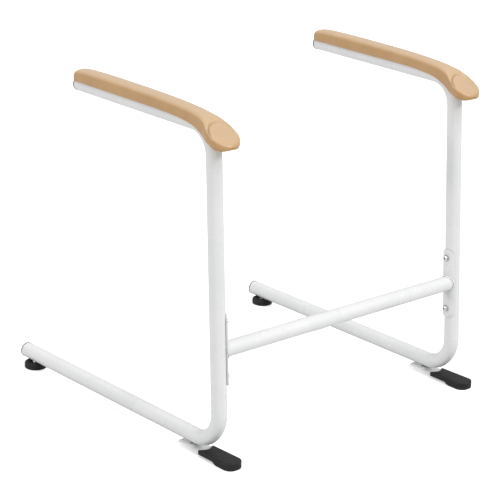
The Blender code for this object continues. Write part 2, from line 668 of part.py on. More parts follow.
def make_saddle(prefix, facing, lean_frame, white, steel):
    """The saddle plate and its two screws, washers and rivet nuts, in the leaning frame of the post."""
    mesh = make_mesh(prefix + "saddle", lambda bm: build_saddle(bm, facing), math.radians(40))
    saddle = make_object(prefix + "saddle", mesh, white, lean_frame)
    turn = (0, facing * math.pi / 2, 0)
    hole_r = M6_R + HOLE_CLEARANCE
    hole = cylinder_mesh("saddle_hole", hole_r, -CUT_THROUGH, CUT_THROUGH)
    washer = [(hole_r, 0), (WASHER_R, 0), (WASHER_R, WASHER_THICK), (hole_r, WASHER_THICK)]
    washer = turned_ring_mesh("saddle_washer", washer, HEAD_SIDES)
    profile = pan_screw_profile(M6_R, SADDLE_HEAD_R, SADDLE_HEAD_HEIGHT, SADDLE_SCREW_LENGTH)
    screw = turned_mesh("saddle_screw", profile, HEAD_SIDES)
    recess = cross_mesh("saddle_recess", M6_CROSS, SADDLE_HEAD_HEIGHT / 2)
    insert = [(hole_r, -SADDLE_INSERT_LENGTH), (SADDLE_INSERT_R, -SADDLE_INSERT_LENGTH),
              (SADDLE_INSERT_R, 0), (hole_r, 0)]
    insert = turned_ring_mesh("saddle_rivet_nut", insert, HEAD_SIDES)
    washer_face = SADDLE_OUT_R + GAP
    for word, place in saddle_places(facing, SADDLE_OUT_R):
        cut(saddle, make_cutter(prefix + word + "_saddle_hole", hole, lean_frame, place, turn))
    for word, place in saddle_places(facing, washer_face):
        make_object(prefix + word + "_saddle_washer", washer, steel, lean_frame, place, turn)
    for word, place in saddle_places(facing, washer_face + WASHER_THICK + GAP):
        name = prefix + word + "_saddle_screw"
        obj = make_object(name, screw, steel, lean_frame, place, turn)
        cut(obj, make_cutter(name + "_recess", recess, obj))
    for word, place in saddle_places(facing, TUBE_R - SADDLE_INSERT_SINK):
        make_object(prefix + word + "_saddle_rivet_nut", insert, steel, lean_frame, place, turn)


def make_crossbar(white, lean_frames):
    axis_y = CORNER_Y + post_point(CROSSBAR_Z)
    mesh = make_mesh("crossbar", build_crossbar, math.radians(40))
    bar = make_object("crossbar", mesh, white, place=(0, axis_y, CROSSBAR_Z))
    cope_r = SADDLE_OUT_R + GAP
    for name, frame in lean_frames.items():
        cope = make_mesh("cope", lambda bm: vertical_cylinder(bm, cope_r, -0.05, 0.05, COPE_SIDES))
        cut(bar, make_cutter(name + "cope", cope, frame))


def make_side(prefix, side_sign, materials):
    """One side frame. It returns the empty that leans with the post, at the saddle's middle."""
    side_x = side_sign * TRACK / 2
    facing = -side_sign
    place = (side_x, CORNER_Y + post_point(SADDLE_Z), SADDLE_Z)
    lean_frame = make_empty(prefix + "post_frame", place)
    lean_frame.rotation_euler.x = -POST_LEAN
    make_tube(prefix, side_x, facing, lean_frame, materials["white"])
    make_armrest(prefix, side_x, materials["tan"], materials["steel"])
    make_caps(prefix, side_x, materials["grey"])
    make_front_foot(prefix, side_x, materials["white"], materials["rubber"])
    make_glide(prefix, side_x, materials["rubber"], materials["steel"])
    make_saddle(prefix, facing, lean_frame, materials["white"], materials["steel"])
    return lean_frame


def main():
    clear_scene()
    materials = {
        "white": make_material("white_powder_coat", (0.82, 0.82, 0.81), 0.32),
        "tan": make_material("tan_moulded_plastic", (0.60, 0.43, 0.26), 0.45),
        "rubber": make_material("black_rubber", (0.022, 0.022, 0.022), 0.55),
        "steel": make_material("zinc_steel", (0.70, 0.70, 0.69), 0.28, 1.0),
        "grey": make_material("grey_cap_plastic", (0.20, 0.20, 0.20), 0.45),
    }
    lean_frames = {}
    for prefix, side_sign in (("right_", -1), ("left_", 1)):
        lean_frames[prefix] = make_side(prefix, side_sign, materials)
    make_crossbar(materials["white"], lean_frames)


main()
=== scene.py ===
import json
import math

import bmesh
import bpy
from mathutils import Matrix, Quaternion, Vector


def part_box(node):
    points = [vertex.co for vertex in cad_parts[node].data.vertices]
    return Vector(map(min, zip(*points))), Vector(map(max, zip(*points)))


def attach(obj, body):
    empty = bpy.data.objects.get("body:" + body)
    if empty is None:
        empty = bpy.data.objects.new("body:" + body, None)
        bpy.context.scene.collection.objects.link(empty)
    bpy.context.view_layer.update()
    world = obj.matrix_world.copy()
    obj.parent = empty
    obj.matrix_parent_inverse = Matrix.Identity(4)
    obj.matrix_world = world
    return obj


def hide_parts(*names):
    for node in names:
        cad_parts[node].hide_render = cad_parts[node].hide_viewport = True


# Looks of the toilet safety frame, in metres, in the frame of the CAD model: +Z up, -Y the front,
# -X the seated user's right. Fine meshes stand for the coarse solids, and every surface gets a material.

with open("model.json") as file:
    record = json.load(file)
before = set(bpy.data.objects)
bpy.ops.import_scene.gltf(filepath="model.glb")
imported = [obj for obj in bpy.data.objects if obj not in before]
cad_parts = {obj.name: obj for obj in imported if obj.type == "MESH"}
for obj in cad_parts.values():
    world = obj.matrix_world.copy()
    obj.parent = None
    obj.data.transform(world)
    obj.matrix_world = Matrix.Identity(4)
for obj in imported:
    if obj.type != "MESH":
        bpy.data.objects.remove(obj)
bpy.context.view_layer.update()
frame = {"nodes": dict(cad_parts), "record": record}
NODES = frame["nodes"]
for startup_name in ("Cube", "Light", "Camera"):
    startup = bpy.data.objects.get(startup_name)
    if startup and startup_name not in NODES:
        bpy.data.objects.remove(startup)

# Driving sizes of the design
TUBE_R = 0.0143
TUBE_WALL = 0.0016
LOWER_BEND_R = 0.058
UPPER_BEND_R = 0.0535
TOE_REACH = 0.0470
SADDLE_IN_R = TUBE_R + 0.0005
SADDLE_OUT_R = SADDLE_IN_R + 0.0030
SADDLE_HALF_HEIGHT = 0.0665
SADDLE_HALF_ANGLE = math.radians(58)
GAP = 0.0003
ROUND_SIDES = 56
SIDES = (("right_", -1), ("left_", 1))


def middle(node):
    low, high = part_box(node)
    return (low + high) / 2


# Places read from the frame
side_low, side_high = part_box("left_side_tube")
SIDE_X = middle("left_side_tube").x
FLAT_R = (side_high.x - side_low.x) / 2  # the CAD tube's radius to its flats
BASE_Z = side_low.z + FLAT_R
TOP_Z = side_high.z - FLAT_R
CORNER_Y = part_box("left_front_foot")[0].y + TOE_REACH  # where the base and post axes cross
BASE_END_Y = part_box("left_base_end_cap")[1].y
TOP_END_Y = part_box("left_top_end_cap")[1].y
ARM_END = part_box("left_armrest")[1].y - CORNER_Y
GLIDE_Y = middle("left_glide_pad").y
CROSSBAR = middle("crossbar")
UPPER_SCREW = middle("left_upper_saddle_washer")
LOWER_SCREW = middle("left_lower_saddle_washer")
SADDLE_MIDDLE = (UPPER_SCREW + LOWER_SCREW) / 2
POST_LEAN = math.atan2(UPPER_SCREW.y - LOWER_SCREW.y, UPPER_SCREW.z - LOWER_SCREW.z)
POST_UP = Vector((0, math.sin(POST_LEAN), math.cos(POST_LEAN)))
POST_BACK = Vector((0, math.cos(POST_LEAN), -math.sin(POST_LEAN)))


# Meshes

def new_object(name, bm, material, smooth_angle=math.radians(38)):
    bmesh.ops.recalc_face_normals(bm, faces=bm.faces)
    mesh = bpy.data.meshes.new(name)
    bm.to_mesh(mesh)
    bm.free()
    mesh.materials.append(material)
    mesh.shade_smooth()
    mesh.set_sharp_from_angle(angle=smooth_angle)
    obj = bpy.data.objects.new(name, mesh)
    bpy.context.scene.collection.objects.link(obj)
    return obj


def stand_for(obj, node, body):
    """obj is shown in place of a CAD node and moves with its body."""
    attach(obj, body)
    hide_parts(node)


def trim(obj, body):
    """obj is a detail that the CAD model leaves out, such as a weld bead."""
    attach(obj, body)


def carve(obj, cutters, smooth_angle=math.radians(38)):
    """Cuts the cutters out of obj for good, and deletes them."""
    for cutter in cutters:
        modifier = obj.modifiers.new("carve", "BOOLEAN")
        modifier.operation = "DIFFERENCE"
        modifier.solver = "EXACT"
        modifier.object = cutter
    depsgraph = bpy.context.evaluated_depsgraph_get()
    carved = bpy.data.meshes.new_from_object(obj.evaluated_get(depsgraph))
    obj.modifiers.clear()
    obj.data = carved
    obj.data.shade_smooth()
    obj.data.set_sharp_from_angle(angle=smooth_angle)
    for cutter in cutters:
        bpy.data.objects.remove(cutter)


def soften(obj, width, segments=3, angle=math.radians(35)):
    """Rounds the sharp edges."""
    modifier = obj.modifiers.new("soften", "BEVEL")
    modifier.width = width
    modifier.segments = segments
    modifier.limit_method = "ANGLE"
    modifier.angle_limit = angle
    modifier.harden_normals = False


def add_ring(bm, centre, side_axis, up_axis, radius, sides=ROUND_SIDES):
    ring = []
    for i in range(sides):
        angle = 2 * math.pi * i / sides
        ring.append(bm.verts.new(centre + radius * (math.cos(angle) * side_axis + math.sin(angle) * up_axis)))
    return ring


def add_bands(bm, rings, closed_loop=False):
    pairs = list(zip(rings[:-1], rings[1:]))
    if closed_loop:
        pairs.append((rings[-1], rings[0]))
    for lower, upper in pairs:
        for i in range(len(lower)):
            j = (i + 1) % len(lower)
            bm.faces.new((lower[i], lower[j], upper[j], upper[i]))


def add_turned(bm, profile, origin, axis, sides=ROUND_SIDES):
    """A solid turned about an axis. The profile holds (radius, distance along it), from axis to axis."""
    side_axis = axis.orthogonal().normalized()
    up_axis = axis.cross(side_axis)
    rings = [add_ring(bm, origin + axis * along, side_axis, up_axis, radius, sides)
             for radius, along in profile[1:-1]]
    add_bands(bm, rings)
    bm.faces.new(rings[0])
    bm.faces.new(rings[-1])


def add_turned_ring(bm, profile, origin, axis, sides=ROUND_SIDES):
    """A turned solid with a hole through it. The profile is a closed outline."""
    side_axis = axis.orthogonal().normalized()
    up_axis = axis.cross(side_axis)
    rings = [add_ring(bm, origin + axis * along, side_axis, up_axis, radius, sides)
             for radius, along in profile]
    add_bands(bm, rings, closed_loop=True)


def bend(corner, way_in, way_out, radius, steps):
    """(point, tangent) pairs round a bend between two straights."""
    turn = way_in.angle(way_out)
    start = corner - way_in * radius * math.tan(turn / 2)
    inward = (way_out - way_in * way_in.dot(way_out)).normalized()
    centre = start + inward * radius
    stations = []
    for step in range(steps + 1):
        angle = turn * step / steps
        point = centre + radius * (math.sin(angle) * way_in - math.cos(angle) * inward)
        stations.append((point, math.cos(angle) * way_in + math.sin(angle) * inward))
    return stations


def tube_path(side_x, base_end, top_end, steps=26):
    forward = Vector((0, -1, 0))
    rearward = Vector((0, 1, 0))
    low_corner = Vector((side_x, CORNER_Y, BASE_Z))
    high_corner = low_corner + POST_UP * (TOP_Z - BASE_Z) / POST_UP.z
    path = [(Vector((side_x, base_end, BASE_Z)), forward)]
    path += bend(low_corner, forward, POST_UP, LOWER_BEND_R, steps)
    path += bend(high_corner, POST_UP, rearward, UPPER_BEND_R, steps)
    path.append((Vector((side_x, top_end, TOP_Z)), rearward))
    return path


def sweep_rings(bm, path, radius, sides=ROUND_SIDES):
    across = Vector((1, 0, 0))
    return [add_ring(bm, point, across, across.cross(tangent), radius, sides) for point, tangent in path]


def add_bead(bm, points, normals, radius, ripple, closed_loop, sides=12):
    """A weld bead along points: a round cord whose thickness ripples as each drop of metal did."""
    rings = []
    count = len(points)
    for k in range(count):
        before = points[k - 1] if closed_loop or k > 0 else points[k]
        after = points[(k + 1) % count] if closed_loop or k < count - 1 else points[k]
        tangent = (after - before).normalized()
        side_axis = normals[k].cross(tangent).normalized()
        thickness = radius * (1 + ripple * math.sin(k * 2 * math.pi / 4))
        if not closed_loop:
            thickness *= min(1.0, 0.25 + 0.75 * min(k, count - 1 - k) / 3)
        rings.append(add_ring(bm, points[k], side_axis, normals[k], thickness, sides))
    add_bands(bm, rings, closed_loop)
    if not closed_loop:
        bm.faces.new(rings[0])
        bm.faces.new(rings[-1])


# Materials

COAT_GLOSS = 0.12
DEEP_SEAM = 0.35
OPEN_SURFACE = 0.92


def start_material(name, roughness, metallic=0.0, specular=0.5, coat=0.0):
    material = bpy.data.materials.new(name)
    material.use_nodes = True
    shader = material.node_tree.nodes["Principled BSDF"]
    shader.inputs["Roughness"].default_value = roughness
    shader.inputs["Metallic"].default_value = metallic
    shader.inputs["Specular IOR Level"].default_value = specular
    shader.inputs["Coat Weight"].default_value = coat
    shader.inputs["Coat Roughness"].default_value = COAT_GLOSS
    place = material.node_tree.nodes.new("ShaderNodeTexCoord").outputs["Object"]
    return material, shader, place


def add_noise(material, place, scale, detail=3.0, stretch=None):
    nodes = material.node_tree.nodes
    links = material.node_tree.links
    noise = nodes.new("ShaderNodeTexNoise")
    noise.inputs["Scale"].default_value = scale
    noise.inputs["Detail"].default_value = detail
    if stretch:
        mapping = nodes.new("ShaderNodeMapping")
        mapping.inputs["Scale"].default_value = stretch
        links.new(place, mapping.inputs["Vector"])
        place = mapping.outputs["Vector"]
    links.new(place, noise.inputs["Vector"])
    return noise.outputs["Fac"]


def add_ramp(material, factor, stops):
    """A colour ramp through (position, colour) stops."""
    ramp = material.node_tree.nodes.new("ShaderNodeValToRGB")
    elements = ramp.color_ramp.elements
    while len(elements) < len(stops):
        elements.new(0.5)
    for element, (position, colour) in zip(elements, stops):
        element.position = position
        element.color = (*colour, 1.0)
    material.node_tree.links.new(factor, ramp.inputs["Fac"])
    return ramp.outputs["Color"]


def add_range(material, factor, low, high, from_low=0.3, from_high=0.7):
    """The factor's range of from_low to from_high, turned into low to high."""
    node = material.node_tree.nodes.new("ShaderNodeMapRange")
    node.inputs["From Min"].default_value = from_low
    node.inputs["From Max"].default_value = from_high
    node.inputs["To Min"].default_value = low
    node.inputs["To Max"].default_value = high
    material.node_tree.links.new(factor, node.inputs["Value"])
    return node.outputs["Result"]


def add_mix(material, factor, first, second):
    node = material.node_tree.nodes.new("ShaderNodeMix")
    node.data_type = "RGBA"
    links = material.node_tree.links
    for socket, value in ((node.inputs[0], factor), (node.inputs[6], first), (node.inputs[7], second)):
        if isinstance(value, (float, tuple)):
            socket.default_value = value
        else:
            links.new(value, socket)
    return node.outputs[2]


def add_occlusion(material, reach, most):
    """How much painted shade to mix in: from 0 on open surface to most in joins and recesses, by ambient
    occlusion.
    """
    occlusion = material.node_tree.nodes.new("ShaderNodeAmbientOcclusion")
    occlusion.inputs["Distance"].default_value = reach
    occlusion.samples = 8
    return add_range(material, occlusion.outputs["AO"], most, 0.0, DEEP_SEAM, OPEN_SURFACE)


def add_bump(material, shader, layers):
    """Bump layers of (height, strength, distance), one on top of the other."""
    normal = None
    for height, strength, distance in layers:
        bump = material.node_tree.nodes.new("ShaderNodeBump")
        bump.inputs["Strength"].default_value = strength
        bump.inputs["Distance"].default_value = distance
        material.node_tree.links.new(height, bump.inputs["Height"])
        if normal:
            material.node_tree.links.new(normal, bump.inputs["Normal"])
        normal = bump.outputs["Normal"]
    material.node_tree.links.new(normal, shader.inputs["Normal"])


def link(material, output, shader, name):
    material.node_tree.links.new(output, shader.inputs[name])


def powder_coat():
    """Gloss white powder coat: a faint orange peel, slight clouding, fine rubbed marks, and painted shade in
    its joins and recesses.
    """
    material, shader, place = start_material("powder_coat", 0.30, specular=0.5, coat=0.6)
    cloud = add_noise(material, place, 14, 3)
    peel = add_noise(material, place, 700, 2)
    rub = add_noise(material, place, 1400, 4, (1, 0.25, 0.25))
    clean = add_ramp(material, cloud, [(0.30, COAT_DEEP), (0.70, COAT_PALE)])
    marks = add_range(material, rub, 0.0, 0.12, 0.66, 0.80)
    wear_and_painted_top_light = add_mix(material, marks, clean, COAT_RUBBED)
    # Painted shade: the coat is mixed towards grey where ambient occlusion finds joins and recesses.
    seam_shade = add_occlusion(material, 0.0026, 0.65)
    link(material, add_mix(material, seam_shade, wear_and_painted_top_light, COAT_PAINTED_SHADE), shader, "Base Color")
    link(material, add_range(material, cloud, 0.22, 0.32), shader, "Roughness")
    add_bump(material, shader, [(peel, 0.10, 0.0002)])
    return material


def tan_plastic():
    """Smooth tan moulding: a fine grain, slight clouding, painted light that pales the upward faces, and
    painted shade in the crease.
    """
    material, shader, place = start_material("tan_moulding", 0.38, specular=0.8)
    shader.inputs["Sheen Weight"].default_value = 0.2
    shader.inputs["Sheen Roughness"].default_value = 0.4
    shader.inputs["Subsurface Weight"].default_value = 0.06
    shader.inputs["Subsurface Radius"].default_value = (0.004, 0.002, 0.001)
    cloud = add_noise(material, place, 28, 4)
    grain = add_noise(material, place, 2200, 3)
    handled = add_noise(material, place, 70, 3)
    skin = add_ramp(material, cloud, [(0.28, TAN_DEEP), (0.72, TAN_PALE)])
    # Painted shade: the moulding darkens towards brown in its crease and recesses, by ambient occlusion.
    painted_crease_shade = add_occlusion(material, 0.004, 0.75)
    # Painted light: faces that point up are mixed towards a paler, greyer tan, as a sheen from the light
    # above makes them look.
    up = material.node_tree.nodes.new("ShaderNodeSeparateXYZ")
    surface = material.node_tree.nodes.new("ShaderNodeNewGeometry")
    material.node_tree.links.new(surface.outputs["Normal"], up.inputs["Vector"])
    top_light_mask = add_range(material, up.outputs["Z"], 0.0, 0.55, 0.35, 0.95)
    wear_and_painted_top_light = add_mix(material, top_light_mask, skin, TAN_PAINTED_TOP_LIGHT)
    link(material, add_mix(material, painted_crease_shade, wear_and_painted_top_light, TAN_PAINTED_SHADE), shader, "Base Color")
    link(material, add_range(material, handled, 0.36, 0.50), shader, "Roughness")
    add_bump(material, shader, [(grain, 0.18, 0.0003), (handled, 0.12, 0.001)])
    return material


def black_rubber():
    """Moulded black rubber: satin, with a fine grain, bloom in patches, and dust near the floor."""
    material, shader, place = start_material("black_rubber_moulding", 0.55, specular=0.32)
    bloom = add_noise(material, place, 160, 5)
    grain = add_noise(material, place, 1900, 3)
    height = material.node_tree.nodes.new("ShaderNodeSeparateXYZ")
    material.node_tree.links.new(place, height.inputs["Vector"])
    low_down = add_range(material, height.outputs["Z"], 0.22, 0.0, 0.0, 0.006)
    base = add_ramp(material, bloom, [(0.30, RUBBER_DEEP), (0.75, RUBBER_PALE)])
    link(material, add_mix(material, low_down, base, RUBBER_DUST), shader, "Base Color")
    link(material, add_range(material, bloom, 0.42, 0.62), shader, "Roughness")
    add_bump(material, shader, [(grain, 0.35, 0.0003), (bloom, 0.15, 0.001)])
    return material


def zinc_plate():
    """Bright zinc plate: metal with a faint blue and yellow cast in patches and fine turning marks."""
    material, shader, place = start_material("zinc_plate", 0.28, metallic=1.0)
    cast = add_noise(material, place, 500, 4)
    scratch = add_noise(material, place, 2600, 4, (1, 1, 0.2))
    colour = add_ramp(material, cast, [(0.3, ZINC_BLUE), (0.55, ZINC_PLAIN), (0.8, ZINC_YELLOW)])
    shade = add_occlusion(material, 0.0014, 0.92)
    link(material, add_mix(material, shade, colour, ZINC_SHADE), shader, "Base Color")
    link(material, add_range(material, scratch, 0.12, 0.34), shader, "Roughness")
    add_bump(material, shader, [(scratch, 0.25, 0.0002)])
    return material


def grey_plastic():
    """Dark grey cap plastic with a fine grain and paler rubbed patches."""
    material, shader, place = start_material("cap_moulding", 0.55, specular=0.25)
    patch = add_noise(material, place, 240, 4)
    grain = add_noise(material, place, 1800, 3)
    base = add_ramp(material, patch, [(0.3, CAP_DEEP), (0.75, CAP_PALE)])
    link(material, base, shader, "Base Color")
    link(material, add_range(material, patch, 0.38, 0.55), shader, "Roughness")
    add_bump(material, shader, [(grain, 0.30, 0.0003)])
    return material


def floor_material():
    """Plain pale studio floor, which looks lighter than the light that it throws back onto the frame."""
    material, shader, place = start_material("studio_floor", 0.9, specular=0.0)
    seen = material.node_tree.nodes.new("ShaderNodeLightPath").outputs["Is Camera Ray"]
    cloud = add_noise(material, place, 1.5, 3)
    pale = add_ramp(material, cloud, [(0.2, FLOOR_DEEP), (0.8, FLOOR_PALE)])
    link(material, add_mix(material, seen, FLOOR_BOUNCE, pale), shader, "Base Color")
    link(material, add_range(material, seen, 0.0, FLOOR_GLOW, 0.0, 1.0), shader, "Emission Strength")
    shader.inputs["Emission Color"].default_value = (1, 1, 1, 1)
    return material


COAT_DEEP = (0.765, 0.775, 0.775)
COAT_PALE = (0.80, 0.805, 0.80)
COAT_RUBBED = (0.60, 0.60, 0.58, 1)
# Grey of the painted shade in the coat's joins and recesses.
COAT_PAINTED_SHADE = (0.26, 0.26, 0.26, 1)
TAN_DEEP = (0.490, 0.280, 0.108)
TAN_PALE = (0.550, 0.325, 0.136)
# Paler tan of the painted light on upward faces.
TAN_PAINTED_TOP_LIGHT = (0.700, 0.540, 0.380, 1)
# Brown of the painted shade in the crease and recesses.
TAN_PAINTED_SHADE = (0.30, 0.18, 0.09, 1)
RUBBER_DEEP = (0.008, 0.008, 0.008)
RUBBER_PALE = (0.019, 0.019, 0.018)
RUBBER_DUST = (0.085, 0.080, 0.072, 1)
ZINC_BLUE = (0.78, 0.80, 0.83)
ZINC_PLAIN = (0.88, 0.88, 0.87)
ZINC_YELLOW = (0.89, 0.86, 0.79)
ZINC_SHADE = (0.04, 0.04, 0.045, 1)
CAP_DEEP = (0.012, 0.012, 0.013)
CAP_PALE = (0.028, 0.028, 0.030)
FLOOR_DEEP = (0.90, 0.90, 0.90)
FLOOR_PALE = (0.92, 0.92, 0.92)
FLOOR_BOUNCE = (0.64, 0.64, 0.64, 1)
FLOOR_GLOW = 0.45

WHITE = powder_coat()
TAN = tan_plastic()
RUBBER = black_rubber()
ZINC = zinc_plate()
GREY = grey_plastic()
SLOT_MATERIALS = {"white_powder_coat": WHITE, "tan_moulded_plastic": TAN, "black_rubber": RUBBER,
                  "zinc_steel": ZINC, "grey_cap_plastic": GREY}


def paint_cad_nodes():
    """Every CAD node takes the detailed material of its slot, the hidden ones too."""
    for part in frame["record"]["subparts"]:
        mesh = NODES[part["node"]].data
        mesh.materials.clear()
        mesh.materials.append(SLOT_MATERIALS[part["material_slot"]])


# Tubes, caps and welds

ARM_SCREW_YS = [middle("left_front_armrest_screw").y, middle("left_rear_armrest_screw").y]
ACCESS_R = 0.0058
ACCESS_DEPTH = 0.02
ACCESS_SIDES = 32
CAP_LIP = 0.0022
CAP_LIP_ROUND = 0.0006
CAP_RIM_R = TUBE_R + 0.0003
CAP_PLUG_R = TUBE_R - TUBE_WALL - 0.0005
CAP_PLUG_DEPTH = 0.014
CAP_PLUG_TAPER = 0.002
CAP_DISH_DEPTH = 0.0004
WELD_LIFT = 0.0004
CROSSBAR_WELD_R = 0.0021
BRACKET_WELD_R = 0.0015
BRACKET_WELD_X = 0.0078
BRACKET_WELD_STEPS = 34


def make_side_tube(prefix, side_x):
    bm = bmesh.new()
    path = tube_path(side_x, BASE_END_Y - CAP_LIP - GAP, TOP_END_Y - CAP_LIP - GAP)
    outside = sweep_rings(bm, path, TUBE_R)
    inside = sweep_rings(bm, path, TUBE_R - TUBE_WALL)
    add_bands(bm, outside + inside[::-1], closed_loop=True)
    tube = new_object(prefix + "bent_tube", bm, WHITE)
    cutters = []
    for y in ARM_SCREW_YS:
        hole = bmesh.new()
        profile = [(0, 0), (ACCESS_R, 0), (ACCESS_R, ACCESS_DEPTH), (0, ACCESS_DEPTH)]
        add_turned(hole, profile, Vector((side_x, y, TOP_Z)), Vector((0, 0, -1)), ACCESS_SIDES)
        cutters.append(new_object("access_hole", hole, WHITE))
    carve(tube, cutters)
    stand_for(tube, prefix + "side_tube", "frame")


def make_end_cap(prefix, word, node, end_y, height, side_x):
    """A cap with a thin rounded lip, a shallow dished face, and a plug inside the tube."""
    bm = bmesh.new()
    profile = [(0, -CAP_PLUG_DEPTH), (CAP_PLUG_R * 0.92, -CAP_PLUG_DEPTH),
               (CAP_PLUG_R, CAP_PLUG_TAPER - CAP_PLUG_DEPTH), (CAP_PLUG_R, 0),
               (CAP_RIM_R - 0.0004, 0), (CAP_RIM_R, 0.0003), (CAP_RIM_R, CAP_LIP - CAP_LIP_ROUND)]
    for step in range(1, 7):
        angle = math.pi / 2 * step / 6
        profile.append((CAP_RIM_R - CAP_LIP_ROUND * (1 - math.cos(angle)),
                        CAP_LIP - CAP_LIP_ROUND * (1 - math.sin(angle))))
    profile += [(TUBE_R * 0.62, CAP_LIP), (TUBE_R * 0.58, CAP_LIP - 0.0005),
                (TUBE_R * 0.3, CAP_LIP - CAP_DISH_DEPTH), (0, CAP_LIP - CAP_DISH_DEPTH)]
    add_turned(bm, profile, Vector((side_x, end_y - CAP_LIP, height)), Vector((0, 1, 0)))
    cap = new_object(prefix + word, bm, GREY)
    stand_for(cap, node, "frame")


def post_y(height):
    """Y of the post's axis at a height."""
    return CORNER_Y + (height - BASE_Z) * math.tan(POST_LEAN)


def saddle_reach(y, z):
    """How far a saddle's outer face stands from the plane through the post's axis, at a point."""
    off_axis = (y - post_y(z)) * math.cos(POST_LEAN)
    return math.sqrt(SADDLE_OUT_R**2 - off_axis**2)


def make_crossbar():
    """The crossbar, its ends shaped to the round of the saddles."""
    bm = bmesh.new()
    rings = []
    for side, radius in ((-1, TUBE_R), (1, TUBE_R), (1, TUBE_R - TUBE_WALL), (-1, TUBE_R - TUBE_WALL)):
        ring = []
        for i in range(ROUND_SIDES):
            angle = 2 * math.pi * i / ROUND_SIDES
            y = CROSSBAR.y + radius * math.cos(angle)
            z = CROSSBAR.z + radius * math.sin(angle)
            ring.append(bm.verts.new((side * (SIDE_X - saddle_reach(y, z) - GAP), y, z)))
        rings.append(ring)
    add_bands(bm, rings, closed_loop=True)
    bar = new_object("cross_tube", bm, WHITE)
    stand_for(bar, "crossbar", "frame")


def make_crossbar_weld(prefix, side):
    """The bead round the joint between the crossbar and its saddle."""
    bm = bmesh.new()
    points = []
    normals = []
    steps = 96
    for k in range(steps):
        angle = 2 * math.pi * k / steps
        outward = Vector((0, math.cos(angle), math.sin(angle)))
        y = CROSSBAR.y + (TUBE_R + WELD_LIFT) * outward.y
        z = CROSSBAR.z + (TUBE_R + WELD_LIFT) * outward.z
        points.append(Vector((side * (SIDE_X - saddle_reach(y, z) - WELD_LIFT), y, z)))
        normals.append(outward)
    add_bead(bm, points, normals, CROSSBAR_WELD_R, 0.07, closed_loop=True)
    trim(new_object(prefix + "crossbar_weld", bm, WHITE), "frame")


def make_bracket_welds(prefix, side_x):
    """Two beads in the wedge between the round base tube and the flat bracket."""
    bar_top = BASE_Z - TUBE_R - GAP
    rear_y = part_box(prefix + "foot_bracket")[1].y
    for word, sideways in (("inner", -1), ("outer", 1)):
        bm = bmesh.new()
        points = [Vector((side_x + sideways * BRACKET_WELD_X, rear_y - 0.003 - 0.00065 * k, bar_top + 0.0009))
                  for k in range(BRACKET_WELD_STEPS)]
        upward = [Vector((0, 0, 1))] * len(points)
        add_bead(bm, points, upward, BRACKET_WELD_R, 0.09, closed_loop=False)
        bead = new_object(prefix + word + "_bracket_weld", bm, WHITE)
        trim(bead, "frame")


def make_saddle(prefix, side):
    """A curved plate round the post's inner side. Its ends are rounded, its edges soft."""
    bm = bmesh.new()
    steps = 44
    facing = Vector((-side, 0, 0))
    half_arc = SADDLE_HALF_ANGLE * (SADDLE_IN_R + SADDLE_OUT_R) / 2
    origin = Vector((side * SIDE_X, post_y(SADDLE_MIDDLE.z), SADDLE_MIDDLE.z))
    rings = []
    for step in range(steps + 1):
        share = math.sin(math.pi / 2 * (-1 + 2 * step / steps))
        height = SADDLE_HALF_HEIGHT - 0.75 * half_arc * (1 - math.sqrt(1 - share**2))
        angle = SADDLE_HALF_ANGLE * share
        outward = math.cos(angle) * facing + math.sin(angle) * POST_BACK
        corners = ((SADDLE_IN_R, -height), (SADDLE_OUT_R, -height),
                   (SADDLE_OUT_R, height), (SADDLE_IN_R, height))
        rings.append([bm.verts.new(origin + outward * radius + POST_UP * up) for radius, up in corners])
    add_bands(bm, rings)
    bm.faces.new(rings[0])
    bm.faces.new(rings[-1])
    saddle = new_object(prefix + "curved_saddle", bm, WHITE)
    soften(saddle, 0.0009)
    stand_for(saddle, prefix + "saddle", "frame")


# Fasteners

SCREW_HEAD_R = 0.0052
SCREW_HEAD_HEIGHT = 0.0034


def add_cross(bm, origin, axis, spin, half_width, half_length, depth, rise):
    """A plus-shaped cutter that narrows into the head, as a cross recess does."""
    side_axis = math.cos(spin) * POST_UP + math.sin(spin) * POST_BACK
    up_axis = axis.cross(side_axis)
    w, l = half_width, half_length
    outline = [(w, w), (w, l), (-w, l), (-w, w), (-l, w), (-l, -w), (-w, -w), (-w, -l), (w, -l), (w, -w),
               (l, -w), (l, w)]
    rings = []
    for along, narrow in ((-depth, 0.45), (rise, 1.1)):
        rings.append([bm.verts.new(origin + axis * along + narrow * (a * side_axis + b * up_axis))
                      for a, b in outline])
    add_bands(bm, rings)
    bm.faces.new(rings[0])
    bm.faces.new(rings[1])


